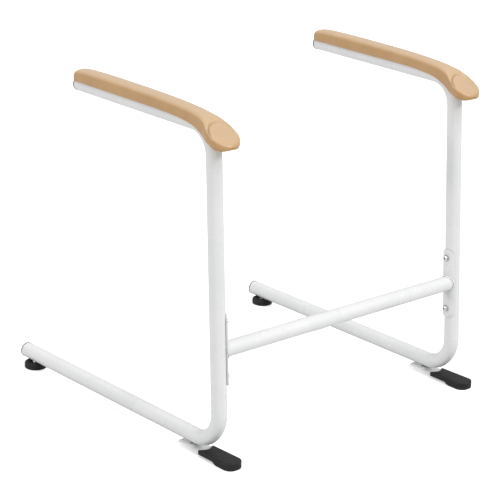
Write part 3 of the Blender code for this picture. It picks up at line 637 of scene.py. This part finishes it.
def make_saddle_screw(prefix, word, side, spin):
    """A washer and a pan-head screw with a cross recess, on the saddle's outer face."""
    facing = Vector((-side, 0, 0))
    washer_low, washer_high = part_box(prefix + word + "_saddle_washer")
    centre = (washer_low + washer_high) / 2
    thickness = washer_high.x - washer_low.x
    washer_back = centre - facing * thickness / 2
    bm = bmesh.new()
    profile = [(0.0034, 0), (0.0061, 0), (0.0063, 0.0003), (0.0063, thickness - 0.0003), (0.0060, thickness),
               (0.0034, thickness)]
    add_turned_ring(bm, profile, washer_back, facing)
    washer = new_object(prefix + word + "_washer_ring", bm, ZINC)
    stand_for(washer, prefix + word + "_saddle_washer", "frame")
    bm = bmesh.new()
    profile = [(0, -0.0170), (0.0022, -0.0170), (0.0030, -0.0160), (0.0030, 0)]
    profile += [(SCREW_HEAD_R - 0.0002, 0), (SCREW_HEAD_R, 0.0003)]
    dome_steps = 8
    for step in range(dome_steps):
        angle = math.pi / 2 * step / dome_steps
        profile.append((SCREW_HEAD_R * math.cos(angle) ** 0.62,
                        0.0009 + (SCREW_HEAD_HEIGHT - 0.0009) * math.sin(angle)))
    profile.append((0, SCREW_HEAD_HEIGHT))
    seat = washer_back + facing * (thickness + GAP)
    add_turned(bm, profile, seat, facing)
    screw = new_object(prefix + word + "_pan_screw", bm, ZINC)
    recess = bmesh.new()
    top = seat + facing * SCREW_HEAD_HEIGHT
    add_cross(recess, top, facing, spin, 0.00062, 0.0030, 0.0021, 0.0008)
    carve(screw, [new_object("recess", recess, ZINC)], math.radians(30))
    stand_for(screw, prefix + word + "_saddle_screw", "frame")


# Armrests: heights count from the top tube's axis, places rearward from the corner

ARM_HALF_WIDTH = 0.0175
ARM_REAR_R = 0.0130
ARM_GROOVE_R = TUBE_R + 0.0005
STRIP_SHOULDER = 0.0092
PALM_SHOULDER = 0.0050
STRIP_EDGE = 0.0016
PALM_EDGE = 0.0115
PALM_Y = 0.0160
PALM_Z = -0.0040
PALM_HALF_WIDTH = 0.0300
PALM_HALF_LENGTH = 0.0235
PALM_SLOPE = math.tan(math.radians(33.7))
PALM_RIM_Y = PALM_Y + PALM_HALF_LENGTH
PALM_FADE = 0.0500
DISC_HALF_WIDTH = 0.0287
DISC_HALF_LENGTH = 0.0224
CREASE_DEPTH = 0.0024
CREASE_WIDTH = 0.062
NOSE_ROUND = 0.0052
NOSE_START = 0.80
DISC_RISE = 0.0005


def smooth_step(value):
    t = min(1.0, max(0.0, value))
    return t * t * (3 - 2 * t)


def smooth_through(points, place):
    """Height at a place on a smooth curve through (place, height) points, with no overshoot."""
    if place <= points[0][0]:
        return points[0][1]
    if place >= points[-1][0]:
        return points[-1][1]
    slopes = [(b[1] - a[1]) / (b[0] - a[0]) for a, b in zip(points[:-1], points[1:])]
    tangents = [slopes[0]]
    for before, after in zip(slopes[:-1], slopes[1:]):
        tangents.append(2 * before * after / (before + after) if before * after > 0 else 0.0)
    tangents.append(slopes[-1])
    k = max(i for i in range(len(points) - 1) if points[i][0] <= place)
    (x0, z0), (x1, z1) = points[k], points[k + 1]
    span = x1 - x0
    t = (place - x0) / span
    rise = z0 * (2 * t**3 - 3 * t**2 + 1) + z1 * (3 * t**2 - 2 * t**3)
    return rise + span * (tangents[k] * (t**3 - 2 * t**2 + t) + tangents[k + 1] * (t**3 - t**2))


def palm_plane(y):
    return PALM_Z + (y - PALM_Y) * PALM_SLOPE


def arm_top(y):
    if y < PALM_RIM_Y:
        return palm_plane(y)
    crown = [(PALM_RIM_Y, palm_plane(PALM_RIM_Y)), (0.0520, 0.0182), (0.0700, 0.0224), (0.0950, 0.0254),
             (0.1480, 0.0284), (0.2020, 0.0298), (0.3130, 0.0307), (0.3720, 0.0300), (0.4000, 0.0282),
             (ARM_END, 0.0238)]
    return smooth_through(crown, y)


def arm_bottom(y):
    edge = [(-0.0072, -0.0268), (-0.0045, -0.0286), (0.0010, -0.0294), (0.0100, -0.0286), (0.0240, -0.0252),
            (0.0400, -0.0180), (0.0570, -0.0090), (0.0820, -0.0003), (0.1040, 0.0030), (0.1460, 0.0060),
            (0.1900, 0.0068), (ARM_END, 0.0068)]
    return smooth_through(edge, y)


def arm_half_width(y):
    if y < PALM_Y:
        forward = (PALM_Y - y) / PALM_HALF_LENGTH
        return PALM_HALF_WIDTH * math.sqrt(max(0.0, 1 - forward**2))
    waist = [(PALM_Y, PALM_HALF_WIDTH), (0.0300, 0.0280), (0.0480, 0.0220), (0.0700, 0.0183),
             (0.1000, ARM_HALF_WIDTH)]
    width = smooth_through(waist, y)
    into_end = (y - (ARM_END - ARM_REAR_R)) / ARM_REAR_R
    if into_end > 0:
        width *= (1 - min(1.0, into_end)**3) ** (1 / 3)
    return width


def arm_surface(x, y, width, shoulder, power):
    """Height of the top surface: the strip's rounded section, and the palm rest's disc with its crease."""
    share = min(1.0, abs(x) / width)
    strip = arm_top(y) - shoulder + shoulder * max(0.0, 1 - share**power) ** (1 / power)
    if y > PALM_RIM_Y + 0.012:
        return strip
    ring = math.hypot(x / DISC_HALF_WIDTH, (y - PALM_Y) / DISC_HALF_LENGTH)
    inside = smooth_step((1.02 - ring) / 0.10)
    rearward = smooth_step((y - PALM_Y + 0.006) / 0.014)
    crease = CREASE_DEPTH * math.exp(-((ring - 1.0) / CREASE_WIDTH) ** 2) * rearward
    disc = palm_plane(y) + DISC_RISE * (1 - ring**2)
    blended = strip + (disc - strip) * inside * (0.25 + 0.75 * rearward)
    reach = math.hypot(x / PALM_HALF_WIDTH, (y - PALM_Y) / PALM_HALF_LENGTH)
    into_nose = min(1.0, max(0.0, (reach - NOSE_START) / (1 - NOSE_START)))
    forward = smooth_step((PALM_Y - y) / 0.012)
    nose = palm_plane(y) - NOSE_ROUND * (1 - math.sqrt(1 - into_nose**2))
    return blended + (nose - blended) * forward - crease


def arm_section(y, top_steps=40):
    """Half of the armrest's outline at y, from the middle of its underside to its crown, as (x, height)."""
    width = arm_half_width(y)
    bottom = arm_bottom(y)
    depth = arm_top(y) - bottom
    on_palm = min(1.0, max(0.0, 1 - (y - PALM_Y) / PALM_FADE))
    on_palm = smooth_step(on_palm)
    shoulder = min(STRIP_SHOULDER + (PALM_SHOULDER - STRIP_SHOULDER) * on_palm, 0.55 * depth)
    power = 2.25 + 0.95 * on_palm
    edge = min(STRIP_EDGE + (PALM_EDGE - STRIP_EDGE) * on_palm, 0.4 * depth)
    edge_across = min(edge, 0.42 * width)
    outline = [(0.0, bottom), ((width - edge_across) / 2, bottom)]
    edge_steps = 7
    for step in range(edge_steps + 1):
        angle = math.pi / 2 * step / edge_steps
        outline.append((width - edge_across * (1 - math.sin(angle)), bottom + edge * (1 - math.cos(angle))))
    side_top = arm_top(y) - shoulder
    outline.append((width, (bottom + edge + side_top) / 2))
    for step in range(top_steps + 1):
        x = width * math.cos(math.pi / 2 * step / top_steps) if step < top_steps else 0.0
        outline.append((x, arm_surface(x, y, width, shoulder, power)))
    return outline


def spread(first, last, count):
    return [first + (last - first) * k / count for k in range(count)]


def arm_stations():
    """Y of each section: close together over the palm rest and at the rear end."""
    front = [PALM_Y - PALM_HALF_LENGTH * math.cos(math.radians(a)) for a in (4, 11, 18, 26, 34, 43, 52, 62)]
    rear = [ARM_END - ARM_REAR_R * (1 - math.sin(math.radians(a))) for a in range(0, 90, 8)]
    return (front + spread(0.0062, 0.0250, 19) + spread(0.0250, 0.0430, 26) + spread(0.0430, 0.0700, 14)
            + spread(0.0700, 0.1600, 18) + spread(0.1600, ARM_END - ARM_REAR_R, 22) + rear)


def make_armrest(prefix, side_x):
    bm = bmesh.new()
    rings = []
    for y in arm_stations():
        half = arm_section(y)
        outline = half + [(-x, z) for x, z in half[-2:0:-1]]
        rings.append([bm.verts.new((side_x + x, CORNER_Y + y, TOP_Z + z)) for x, z in outline])
    add_bands(bm, rings)
    bm.faces.new(rings[0])
    bm.faces.new(rings[-1])
    arm = new_object(prefix + "arm_moulding", bm, TAN, math.radians(50))
    groove = bmesh.new()
    path = tube_path(side_x, BASE_END_Y, CORNER_Y + ARM_END + 0.02)
    rings = sweep_rings(groove, path, ARM_GROOVE_R)
    add_bands(groove, rings)
    groove.faces.new(rings[0])
    groove.faces.new(rings[-1])
    carve(arm, [new_object("groove", groove, TAN)], math.radians(50))
    stand_for(arm, prefix + "armrest", "frame")


# Front feet

FOOT_HALF_WIDTH = 0.0185
FOOT_EAR_Y = 0.0385
FOOT_EAR_ROUND = 0.0032
FOOT_NOTCH_DEPTH = 0.0075
FOOT_TOE_R = 0.0155
FOOT_TOP_REAR = 0.0133
FOOT_TOP_TOE = 0.0150
FOOT_HEEL_Z = 0.0046
FOOT_HEEL_FRONT_Y = -0.0020
FOOT_SOLE_REAR_Y = -0.0080
FOOT_LOW_ROUND = 0.0016
FOOT_HIGH_ROUND = 0.0026


def foot_plan():
    """Half of the boot's plan, x > 0, from the middle of the rear notch round to the middle of the toe."""
    points = []
    inner = FOOT_HALF_WIDTH - FOOT_EAR_ROUND
    for step in range(11):
        across = step / 10
        points.append((inner * across, FOOT_EAR_Y - FOOT_NOTCH_DEPTH * (1 - across**2) ** 1.3))
    for step in range(1, 7):
        angle = math.pi / 2 * step / 6
        points.append((inner + FOOT_EAR_ROUND * math.sin(angle),
                       FOOT_EAR_Y - FOOT_EAR_ROUND * (1 - math.cos(angle))))
    points += [(FOOT_HALF_WIDTH, y) for y in spread(0.0300, -TOE_REACH + FOOT_TOE_R, 12)]
    for step in range(15):
        angle = math.pi / 2 * step / 14
        points.append((FOOT_HALF_WIDTH - FOOT_TOE_R * (1 - math.cos(angle)),
                       -TOE_REACH + FOOT_TOE_R * (1 - math.sin(angle))))
    points.append((0.0, -TOE_REACH))
    return points


def inset(outline, distance):
    """The closed plan outline, each point moved inward along its own normal."""
    moved = []
    count = len(outline)
    for k in range(count):
        before = Vector(outline[k - 1])
        after = Vector(outline[(k + 1) % count])
        along = (after - before).normalized()
        moved.append((outline[k][0] + along.y * distance, outline[k][1] - along.x * distance))
    return moved


def fill_loop(bm, loop):
    """Fills a flat loop, which may be hollowed, with triangles."""
    edges = []
    for k, vert in enumerate(loop):
        edge = bm.edges.get((loop[k - 1], vert))
        edges.append(edge or bm.edges.new((loop[k - 1], vert)))
    bmesh.ops.triangle_fill(bm, use_beauty=True, edges=edges)


def foot_top(y):
    return FOOT_TOP_REAR + (FOOT_TOP_TOE - FOOT_TOP_REAR) * (FOOT_EAR_Y - y) / (FOOT_EAR_Y + TOE_REACH)


def foot_bottom(y):
    """The sole is flat under the toe. Behind it the heel stands clear of the floor."""
    return FOOT_HEEL_Z * smooth_step((y - FOOT_SOLE_REAR_Y) / (FOOT_HEEL_FRONT_Y - FOOT_SOLE_REAR_Y))


def make_front_foot(prefix, side_x):
    """A boot with rounded edges, a hollowed rear and a slightly crowned top."""
    half = foot_plan()
    outline = half + [(-x, y) for x, y in half[-2:0:-1]]
    bm = bmesh.new()
    layers = []
    for step in range(4, 0, -1):
        angle = math.pi / 2 * step / 4
        layers.append((FOOT_LOW_ROUND * (1 - math.cos(angle)), 0, FOOT_LOW_ROUND * (1 - math.sin(angle))))
    layers += [(0, 0, FOOT_LOW_ROUND), (0, 1, -FOOT_HIGH_ROUND)]
    for step in range(1, 7):
        angle = math.pi / 2 * step / 6
        layers.append((FOOT_HIGH_ROUND * (1 - math.cos(angle)), 1,
                       -FOOT_HIGH_ROUND * (1 - math.sin(angle))))
    rings = []
    for distance, high, offset in layers:
        ring = []
        for (x, y), (plan_x, plan_y) in zip(inset(outline, distance), outline):
            height = (foot_top(plan_y) if high else foot_bottom(plan_y)) + offset
            ring.append(bm.verts.new((side_x + x, CORNER_Y + y, height)))
        rings.append(ring)
    add_bands(bm, rings)
    fill_loop(bm, rings[-1])
    sole = rings[0]
    toe = len(outline) // 2
    heel_end = max(k for k in range(toe) if half[k][1] >= FOOT_HEEL_FRONT_Y)
    fill_loop(bm, sole[:heel_end + 1] + sole[-heel_end:])
    for k in range(heel_end, toe - 1):
        bm.faces.new((sole[k], sole[k + 1], sole[-(k + 1)], sole[-k]))
    bm.faces.new((sole[toe - 1], sole[toe], sole[toe + 1]))
    boot = new_object(prefix + "rubber_boot", bm, RUBBER, math.radians(50))
    stand_for(boot, prefix + "front_foot", "frame")


# Rear glides

GLIDE_RIM_ROUND = 0.0022
GLIDE_DISH_R = 0.0095
GLIDE_DISH_Z = 0.0072
STUD_HOLE_R = 0.0044
PLATE_ROOM_R = 0.0088
PLATE_ROOM_TOP = 0.0060
PLATE_ROOM_BOTTOM = 0.0026
NUT_HALF_FLATS = 0.0065
NUT_BORE_R = 0.0044
NUT_CHAMFER = 0.0007


def make_glide(prefix):
    """The rubber disc with rounded rims, a foot ring underneath and a dished top round the nut."""
    low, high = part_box(prefix + "glide_pad")
    centre = Vector(((low.x + high.x) / 2, GLIDE_Y, 0))
    radius = (high.x - low.x) / 2 + 0.0001
    height = high.z
    profile = [(0, 0), (radius * 0.62, 0), (radius * 0.66, 0.0005), (radius * 0.72, 0.0005),
               (radius * 0.76, 0), (radius - 0.0016, 0), (radius - 0.0005, 0.0005), (radius, 0.0016)]
    for step in range(8):
        angle = math.pi / 2 * step / 7
        profile.append((radius - GLIDE_RIM_ROUND * (1 - math.cos(angle)),
                        height - GLIDE_RIM_ROUND * (1 - math.sin(angle))))
    profile += [(0.0108, height - 0.0001), (0.0099, height - 0.0005), (GLIDE_DISH_R, height - 0.0014),
                (GLIDE_DISH_R, GLIDE_DISH_Z), (STUD_HOLE_R, GLIDE_DISH_Z), (STUD_HOLE_R, PLATE_ROOM_TOP),
                (PLATE_ROOM_R, PLATE_ROOM_TOP), (PLATE_ROOM_R, PLATE_ROOM_BOTTOM), (0, PLATE_ROOM_BOTTOM)]
    bm = bmesh.new()
    add_turned(bm, profile, centre, Vector((0, 0, 1)), 72)
    pad = new_object(prefix + "glide_disc", bm, RUBBER)
    stand_for(pad, prefix + "glide_pad", prefix + "glide")


def make_lock_nut(prefix, side_x):
    """A hexagonal nut with chamfered corners."""
    low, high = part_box(prefix + "lock_nut")
    centre = Vector((side_x, GLIDE_Y, 0))
    bm = bmesh.new()
    rings = []
    sides = 48
    levels = ((True, False, low.z), (False, True, low.z), (False, False, low.z + NUT_CHAMFER),
              (False, False, high.z - NUT_CHAMFER), (False, True, high.z), (True, False, high.z))
    for at_bore, chamfered, z in levels:
        ring = []
        for i in range(sides):
            angle = 2 * math.pi * i / sides
            to_flat = (angle + math.pi / 6) % (math.pi / 3) - math.pi / 6
            reach = NUT_BORE_R if at_bore else NUT_HALF_FLATS / math.cos(to_flat)
            if chamfered:
                reach = min(reach, NUT_HALF_FLATS * 1.01)
            ring.append(bm.verts.new(centre + Vector((reach * math.cos(angle), reach * math.sin(angle), z))))
        rings.append(ring)
    add_bands(bm, rings, closed_loop=True)
    nut = new_object(prefix + "hex_nut", bm, ZINC, math.radians(25))
    stand_for(nut, prefix + "lock_nut", "frame")


# The whole object

def make_side(prefix, side):
    side_x = side * SIDE_X
    make_side_tube(prefix, side_x)
    make_end_cap(prefix, "base_cap", prefix + "base_end_cap", BASE_END_Y, BASE_Z, side_x)
    make_end_cap(prefix, "top_cap", prefix + "top_end_cap", TOP_END_Y, TOP_Z, side_x)
    make_armrest(prefix, side_x)
    make_front_foot(prefix, side_x)
    make_bracket_welds(prefix, side_x)
    soften(NODES[prefix + "foot_bracket"], 0.0005)
    make_glide(prefix)
    make_lock_nut(prefix, side_x)
    make_saddle(prefix, side)
    make_crossbar_weld(prefix, side)
    for word, spin in (("upper", 0.62), ("lower", 0.35)):
        make_saddle_screw(prefix, word, side, spin)


# Floor, light and camera

FLOOR_SIZE = 60.0
CAMERA_AZIMUTH = math.radians(-42.576)
CAMERA_ELEVATION = math.radians(18.775)
CAMERA_ROLL = math.radians(2.164)
CAMERA_DISTANCE = 3.7567
CAMERA_LENS = 140.36
CAMERA_AIM = Vector((0.0303, CORNER_Y + 0.300, BASE_Z + 0.2227))
CAMERA_SHIFT = (0.0006, -0.0078)
STUDIO_STRENGTH = 0.55
BACKDROP_STRENGTH = 0.98
# name, azimuth, elevation, strength and spread angle
SUNS = (("overhead", -10, 74, 1.15, 55), ("key", 28, 34, 1.15, 14), ("left_fill", -105, 16, 0.70, 11))


def make_floor():
    bm = bmesh.new()
    bmesh.ops.create_grid(bm, x_segments=8, y_segments=8, size=FLOOR_SIZE / 2)
    floor = new_object("studio_floor", bm, floor_material())


def make_sun(name, azimuth, elevation, strength, spread_angle):
    """A broad far light from an azimuth, counted as the camera's is, and an elevation, both in degrees."""
    light = bpy.data.lights.new(name, "SUN")
    light.energy = strength
    light.angle = math.radians(spread_angle)
    lamp = bpy.data.objects.new(name, light)
    turn, rise = math.radians(azimuth), math.radians(elevation)
    back = Vector((math.sin(turn) * math.cos(rise), -math.cos(turn) * math.cos(rise), math.sin(rise)))
    lamp.rotation_mode = "QUATERNION"
    lamp.rotation_quaternion = (-back).to_track_quat("-Z", "Y")
    bpy.context.scene.collection.objects.link(lamp)


def make_lights():
    world = bpy.data.worlds.new("studio")
    world.use_nodes = True
    background = world.node_tree.nodes["Background"]
    background.inputs["Color"].default_value = (1, 1, 1, 1)
    path = world.node_tree.nodes.new("ShaderNodeLightPath")
    strength = world.node_tree.nodes.new("ShaderNodeMapRange")
    strength.inputs["To Min"].default_value = STUDIO_STRENGTH
    strength.inputs["To Max"].default_value = BACKDROP_STRENGTH
    world.node_tree.links.new(path.outputs["Is Camera Ray"], strength.inputs["Value"])
    world.node_tree.links.new(strength.outputs["Result"], background.inputs["Strength"])
    bpy.context.scene.world = world
    for sun in SUNS:
        make_sun(*sun)


def make_camera():
    data = bpy.data.cameras.new("camera")
    data.lens = CAMERA_LENS
    data.sensor_width = 36
    data.shift_x, data.shift_y = CAMERA_SHIFT
    data.clip_start = 0.05
    data.clip_end = 100
    camera = bpy.data.objects.new("camera", data)
    back = Vector((math.sin(CAMERA_AZIMUTH) * math.cos(CAMERA_ELEVATION),
                   -math.cos(CAMERA_AZIMUTH) * math.cos(CAMERA_ELEVATION), math.sin(CAMERA_ELEVATION)))
    camera.location = CAMERA_AIM + back * CAMERA_DISTANCE
    camera.rotation_mode = "QUATERNION"
    upright = (-back).to_track_quat("-Z", "Y")
    camera.rotation_quaternion = upright @ Quaternion((0, 0, 1), CAMERA_ROLL)
    bpy.context.scene.collection.objects.link(camera)
    bpy.context.scene.camera = camera


paint_cad_nodes()
for side_prefix, side_sign in SIDES:
    make_side(side_prefix, side_sign)
make_crossbar()
make_floor()
make_lights()
make_camera()
bpy.context.scene.view_settings.view_transform = "Standard"
